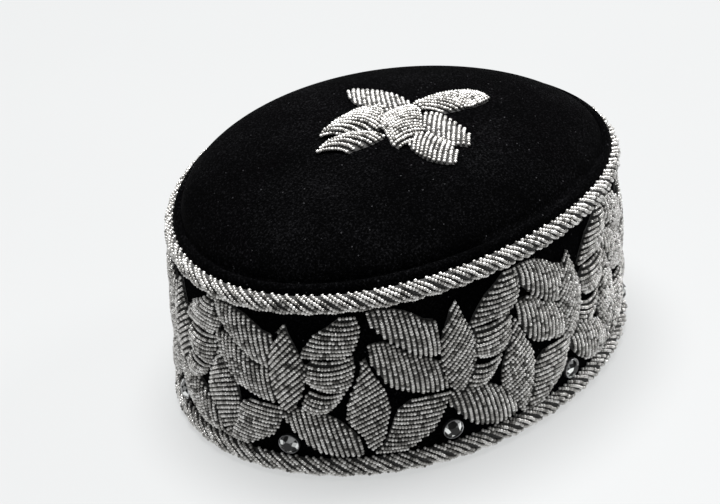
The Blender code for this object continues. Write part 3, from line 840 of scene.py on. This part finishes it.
def velvet_material():
    """Black velvet with a cloudy lay, a fine pile and a few pale specks, partly lint and partly
    painted glints of the pile.
    """
    material, tree, shader = new_material("black_velvet")
    link = tree.links.new
    shader.inputs["Roughness"].default_value = 0.95
    shader.inputs["Specular IOR Level"].default_value = 0.012
    shader.inputs["Sheen Weight"].default_value = 0.003
    shader.inputs["Sheen Roughness"].default_value = 0.35
    shader.inputs["Sheen Tint"].default_value = (0.9, 0.93, 1.0, 1.0)
    place = add_node(tree, "ShaderNodeTexCoord")
    lay = add_texture(tree, place, "ShaderNodeTexNoise", Scale=28.0, Detail=5.0, Roughness=0.65)
    tuft = add_texture(tree, place, "ShaderNodeTexNoise", Scale=1100.0, Detail=2.0, Roughness=0.7)
    blend = add_node(tree, "ShaderNodeMath", operation="MULTIPLY_ADD")
    blend.inputs[1].default_value = 0.35
    link(lay.outputs["Fac"], blend.inputs[0])
    link(tuft.outputs["Fac"], blend.inputs[2])
    shade = add_ramp(tree, blend.outputs["Value"],
                     ((0.50, (0.0001, 0.0001, 0.00015)), (0.68, (0.0005, 0.0005, 0.0006)),
                      (0.80, (0.0024, 0.0024, 0.0027)), (0.95, (0.010, 0.010, 0.011))))
    # Pale specks: partly lint, partly painted glints of the pile
    lint_and_glint = add_texture(tree, place, "ShaderNodeTexVoronoi", Scale=420.0)
    near = add_node(tree, "ShaderNodeMath", operation="LESS_THAN")
    near.inputs[1].default_value = 0.14
    link(lint_and_glint.outputs["Distance"], near.inputs[0])
    chosen = add_node(tree, "ShaderNodeSeparateColor")
    link(lint_and_glint.outputs["Color"], chosen.inputs["Color"])
    rare = add_node(tree, "ShaderNodeMath", operation="GREATER_THAN")
    rare.inputs[1].default_value = 0.90
    link(chosen.outputs["Red"], rare.inputs[0])
    speck = add_node(tree, "ShaderNodeMath", operation="MULTIPLY")
    link(near.outputs["Value"], speck.inputs[0])
    link(rare.outputs["Value"], speck.inputs[1])
    mix = add_node(tree, "ShaderNodeMix", data_type="RGBA")
    mix.inputs[7].default_value = (0.028, 0.028, 0.030, 1.0)
    link(speck.outputs["Value"], mix.inputs[0])
    link(shade, mix.inputs[6])
    link(mix.outputs[2], shader.inputs["Base Color"])
    pile = add_texture(tree, place, "ShaderNodeTexNoise", Scale=1400.0, Detail=3.0)
    add_bump(tree, shader, pile.outputs["Fac"], 0.5, 0.0004)
    return material


def crystal_material():
    """Foil-backed crystal, whose facets are painted with reflections, some bright and some dark.
    """
    material, tree, shader = new_material("cut_crystal")
    shader.inputs["Metallic"].default_value = 1.0
    shader.inputs["Roughness"].default_value = 0.04
    # Painted reflections, one value per facet: low values paint a facet dark, high ones paint a
    # bright glint
    facet_reflection = add_node(tree, "ShaderNodeAttribute", attribute_name="tint_and_reflection")
    shade = add_ramp(tree, facet_reflection.outputs["Fac"],
                     ((0.0, (0.02, 0.02, 0.02)), (0.45, (0.06, 0.06, 0.06)),
                      (0.60, (0.70, 0.71, 0.70)), (1.0, (0.98, 0.99, 0.98))))
    tree.links.new(shade, shader.inputs["Base Color"])
    return material


def rim_material():
    material, tree, shader = new_material("stone_rim")
    shader.inputs["Metallic"].default_value = 1.0
    shader.inputs["Roughness"].default_value = 0.3
    place = add_node(tree, "ShaderNodeTexCoord")
    wear = add_texture(tree, place, "ShaderNodeTexNoise", Scale=700.0, Detail=3.0)
    shade = add_ramp(tree, wear.outputs["Fac"],
                     ((0.3, (0.35, 0.35, 0.36)), (0.7, (0.62, 0.62, 0.63))))
    tree.links.new(shade, shader.inputs["Base Color"])
    return material


def floor_material():
    """A pale table; part of its brightness is its own, so that the velvet stays black."""
    material, tree, shader = new_material("pale_floor")
    place = add_node(tree, "ShaderNodeTexCoord")
    cloud = add_texture(tree, place, "ShaderNodeTexNoise", Scale=3.0, Detail=3.0)
    shade = add_ramp(tree, cloud.outputs["Fac"],
                     ((0.3, (0.109, 0.110, 0.111)), (0.7, (0.116, 0.117, 0.118))))
    tree.links.new(shade, shader.inputs["Base Color"])
    shader.inputs["Emission Color"].default_value = (0.985, 1.0, 1.0, 1.0)
    shader.inputs["Emission Strength"].default_value = 0.565
    shader.inputs["Roughness"].default_value = 0.6
    return material


def ring(radius, level, count, offset=0.0):
    """Points round the Z axis, turned by the offset as a share of the step between them."""
    angles = [2 * math.pi * (step + offset) / count for step in range(count)]
    return [Vector((radius * math.cos(angle), radius * math.sin(angle), level))
            for angle in angles]


def stone_geometry():
    """Facets of a round crystal and faces of its rim, on a base at the origin, along +Z."""
    radius = STONE_DIAMETER / 2
    table_level = TABLE_LEVEL * STONE_HEIGHT
    girdle_level = GIRDLE_LEVEL * STONE_HEIGHT
    star_level = STAR_RISE * table_level + (1 - STAR_RISE) * girdle_level
    table = ring(TABLE_WIDTH * radius, table_level, STONE_SIDES)
    star = ring(STAR_WIDTH * radius, star_level, STONE_SIDES, 0.5)
    girdle = ring(GIRDLE_WIDTH * radius, girdle_level, 2 * STONE_SIDES)
    facets = [table]
    for step in range(STONE_SIDES):
        ahead = (step + 1) % STONE_SIDES
        facets.append([table[step], star[step], table[ahead]])
        facets.append([table[step], star[step - 1], girdle[2 * step], star[step]])
        facets.append([star[step], girdle[2 * step], girdle[2 * step + 1]])
        facets.append([star[step], girdle[2 * step + 1], girdle[2 * ahead]])
    rings = [ring(width * radius, level * STONE_HEIGHT, RIM_SIDES)
             for width, level in RIM_SECTION]
    metal = []
    for low, high in zip(rings[:-1], rings[1:]):
        for step in range(RIM_SIDES):
            ahead = (step + 1) % RIM_SIDES
            metal.append([low[step], low[ahead], high[ahead], high[step]])
    return facets, metal


def stone_placement(repeat):
    """Where a stone's base stands on the band, and the turn from the stone's axes to there."""
    share_u, share_v = STONE_PLACE
    level = FIELD_BASE + share_v * FIELD_HEIGHT
    angle = float(angle_at(PATTERN_LENGTH + (repeat + share_u) * PITCH))
    upward = Vector(wall_points(angle, BAND_HEIGHT, 0) - wall_points(angle, 0.0, 0)).normalized()
    foot = Vector(wall_points(angle, level, BAND_INSET - CLEARANCE / 2))
    inward = Vector(wall_points(angle, level, BAND_INSET)) - foot
    across = inward.cross(upward).normalized()
    outward = across.cross(upward)
    return foot, Matrix((across, upward, outward)).transposed()


def stone_piece(repeat, geometry, materials):
    facets, metal = geometry
    vertices, faces, slots, tints_and_reflections = [], [], [], []
    for slot, group in ((0, facets), (1, metal)):
        for face in group:
            faces.append(range(len(vertices), len(vertices) + len(face)))
            vertices.extend(face)
            slots.append(slot)
            # A random value per facet paints a bright glint on some facets and a dark reflection
            # on others; the table is painted dark
            tint_and_reflection = rng.uniform(0, 1) if slot == 0 else RIM_TINT
            if face is facets[0]:
                tint_and_reflection = TABLE_PAINTED_REFLECTION
            tints_and_reflections.extend([tint_and_reflection] * len(face))
    name = f"crystal_{repeat + 1}"
    mesh = bpy.data.meshes.new(name)
    foot, turn = stone_placement(repeat)
    twist = Matrix.Rotation(rng.uniform(0, STONE_TWIST), 3, "Z")
    mesh.from_pydata([foot + turn @ (twist @ vertex) for vertex in vertices], [], faces)
    for material in materials:
        mesh.materials.append(material)
    mesh.polygons.foreach_set("material_index", slots)
    tint_and_reflection = mesh.attributes.new("tint_and_reflection", "FLOAT", "POINT")
    tint_and_reflection.data.foreach_set("value", tints_and_reflections)
    return link_object(name, mesh)


def dress(piece, slot, fill, *nodes):
    """Puts a piece on the cap in place of its nodes; fill, the fullness of its padding or 0, is
    not used.
    """
    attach(piece, "root")
    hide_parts(*nodes)


def build_leaves(materials):
    leaves = []
    scale = np.array([PITCH, FIELD_HEIGHT])
    for repeat in range(REPEATS):
        shift = np.array([repeat * PITCH, FIELD_BASE])
        for kind, names in BAND_PIECES.items():
            for name in names:
                off = np.array(LEAF_SHIFTS.get((repeat, name), (0.0, 0.0))) * scale
                leaves.append(((kind, repeat), Leaf(BAND_LEAVES[name], scale, shift + off)))
    pieces = {}
    for group in leaf_groups(leaves, on_band):
        kind, repeat = group["piece"]
        piece = pieces.setdefault((kind, repeat), BeadPiece(f"beaded_{kind}_{repeat + 1}"))
        piece.add_beads(group["centres"], group["tangents"])
        piece.add_sheet(group["padding"])
    for (kind, repeat), piece in pieces.items():
        dress(piece.build(materials), "beads", LEAF_FILL, f"{kind}_{repeat + 1}")


def build_flower(materials):
    leaves = [("flower", Leaf(kind, FLOWER_REACH, 0.0)) for kind in FLOWER_LEAVES.values()]
    piece = BeadPiece("beaded_flower")
    for group in leaf_groups(leaves, on_dome):
        piece.add_beads(group["centres"], group["tangents"])
        piece.add_sheet(group["padding"])
    dress(piece.build(materials), "beads", LEAF_FILL, "crown_motif")


def build_floor():
    mesh = bpy.data.meshes.new("floor")
    corners = ((-1, -1), (1, -1), (1, 1), (-1, 1))
    mesh.from_pydata([(FLOOR_REACH * x, FLOOR_REACH * y, -FLOOR_DROP) for x, y in corners],
                     [], [(0, 1, 2, 3)])
    mesh.materials.append(floor_material())
    floor = link_object("floor", mesh)


def build_lights():
    world = bpy.data.worlds.new("studio")
    world.use_nodes = True
    sky = world.node_tree.nodes["Background"]
    sky.inputs["Color"].default_value = SKY_COLOUR
    sky.inputs["Strength"].default_value = SKY_STRENGTH
    bpy.context.scene.world = world
    bpy.context.scene.view_settings.view_transform = "Standard"
    for name, place, width, power in LIGHTS:
        light = bpy.data.lights.new(name, "AREA")
        light.shape = "DISK"
        light.size = width
        light.energy = power
        lamp = link_object(name, light)
        lamp.location = place
        aim = Vector(LIGHT_AIM) - Vector(place)
        lamp.rotation_euler = aim.to_track_quat("-Z", "Y").to_euler()


def build_camera():
    camera = bpy.data.cameras.new("camera")
    camera.sensor_width = SENSOR_WIDTH
    camera.lens = FOCAL_PIXELS * SENSOR_WIDTH / IMAGE_WIDTH
    camera.shift_x = (IMAGE_WIDTH / 2 - CENTRE_PIXEL[0]) / IMAGE_WIDTH
    camera.shift_y = (CENTRE_PIXEL[1] - IMAGE_HEIGHT / 2) / IMAGE_WIDTH
    camera.clip_start = 0.01
    camera.clip_end = 50
    holder = link_object("camera", camera)
    back = Vector((math.sin(CAMERA_AZIMUTH) * math.cos(CAMERA_ELEVATION),
                   -math.cos(CAMERA_AZIMUTH) * math.cos(CAMERA_ELEVATION),
                   math.sin(CAMERA_ELEVATION)))
    turn = (-back).to_track_quat("-Z", "Y").to_matrix() @ Matrix.Rotation(-CAMERA_ROLL, 3, "Z")
    holder.location = Vector((0, 0, CAMERA_AIM)) + CAMERA_DISTANCE * back
    holder.rotation_euler = turn.to_euler()
    bpy.context.scene.camera = holder


def main():
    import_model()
    beads = (beads_material(), padding_material())
    velvet = (velvet_material(),)
    dress(band_cloth(velvet), "velvet", CLOTH_FILL, "band")
    dress(crown_cloth(velvet), "velvet", CLOTH_FILL, "crown")
    for name, level in (("bottom_rope", BOTTOM_ROPE_LEVEL), ("top_rope", TOP_ROPE_LEVEL)):
        dress(rope_piece(f"beaded_{name}", level, beads), "beads", ROPE_FILL, name)
    build_leaves(beads)
    build_flower(beads)
    geometry = stone_geometry()
    crystal = (crystal_material(), rim_material())
    for repeat in range(REPEATS):
        dress(stone_piece(repeat, geometry, crystal), "crystal", 0, f"stone_{repeat + 1}")
    build_floor()
    build_lights()
    build_camera()


main()
